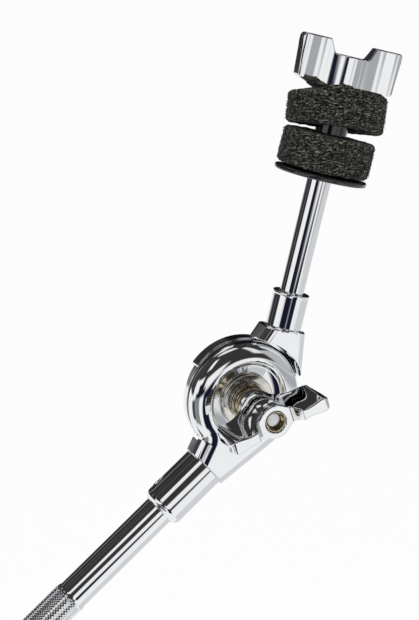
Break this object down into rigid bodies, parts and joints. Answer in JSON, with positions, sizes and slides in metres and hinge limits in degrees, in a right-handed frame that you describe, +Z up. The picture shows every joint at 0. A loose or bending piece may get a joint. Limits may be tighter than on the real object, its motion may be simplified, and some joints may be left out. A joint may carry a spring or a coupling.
{
  "type": "cymbal boom arm",
  "caption": "Upper end of a cymbal boom: knurled chrome rod, friction-drum tilter locked by a wing nut, and a threaded post clamping a cymbal between felt washers.",
  "frame": {"origin": "centre of the boom rod's free end face", "axes": "+Z up, +X from the rod's free end towards the tilter, +Y along the tilter bolt from its wing nut to its head"},
  "size_m": [0.2962, 0.0623, 0.355],
  "materials": {
    "chrome": "polished chrome plate",
    "zinc_steel": "bright zinc plate",
    "brass": "turned brass",
    "warm_nickel": "worn warm-toned plating",
    "friction_fibre": "pressed friction fibre",
    "gloss_black": "moulded gloss black",
    "felt": "charcoal wool felt"
  },
  "bodies": {
    "boom": {"boom_rod": "chrome", "lower_tilter_casting": "chrome", "lower_grub_screw": "zinc_steel", "tilter_bolt": "zinc_steel", "bolt_head_washer": "zinc_steel", "friction_disc": "friction_fibre", "thrust_washer": "warm_nickel", "spring_washer_inner": "warm_nickel", "spring_washer_outer": "warm_nickel"},
    "post": {"upper_tilter_casting": "chrome", "upper_grub_screw": "zinc_steel", "cymbal_post": "chrome", "seat_disc": "gloss_black", "lower_felt": "felt", "upper_felt": "felt", "cymbal_sleeve": "gloss_black"},
    "tilter_thread": {"tilter_nut_insert": "brass"},
    "tilter_nut": {"tilter_wing_nut": "chrome"},
    "cymbal_thread": {"cymbal_nut_insert": "brass"},
    "cymbal_nut": {"cymbal_wing_nut": "chrome"}
  },
  "joints": [
    {"name": "tilter", "type": "hinge", "parent": "boom", "child": "post", "pos_m": [0.21807, 0, 0.19152], "axis": [0, -1, 0], "range_deg": [-85, 120]},
    {"name": "tilter_nut_travel", "type": "slide", "parent": "boom", "child": "tilter_thread", "axis": [0, -1, 0], "range_m": [0, 0.00254]},
    {"name": "tilter_nut_turn", "type": "hinge", "parent": "tilter_thread", "child": "tilter_nut", "pos_m": [0.21807, 0, 0.19152], "axis": [0, -1, 0], "range_deg": [0, 720]},
    {"name": "cymbal_nut_travel", "type": "slide", "parent": "post", "child": "cymbal_thread", "axis": [0.247, 0, 0.969], "range_m": [0, 0.0125]},
    {"name": "cymbal_nut_turn", "type": "hinge", "parent": "cymbal_thread", "child": "cymbal_nut", "pos_m": [0.26303, 0, 0.32093], "axis": [0.247, 0, 0.969], "range_deg": [0, 3600]}
  ],
  "couplings": [
    {"joint": "tilter_nut_travel", "follows": "tilter_nut_turn", "m_per_rad": 0.000202},
    {"joint": "cymbal_nut_travel", "follows": "cymbal_nut_turn", "m_per_rad": 0.0001989}
  ]
}
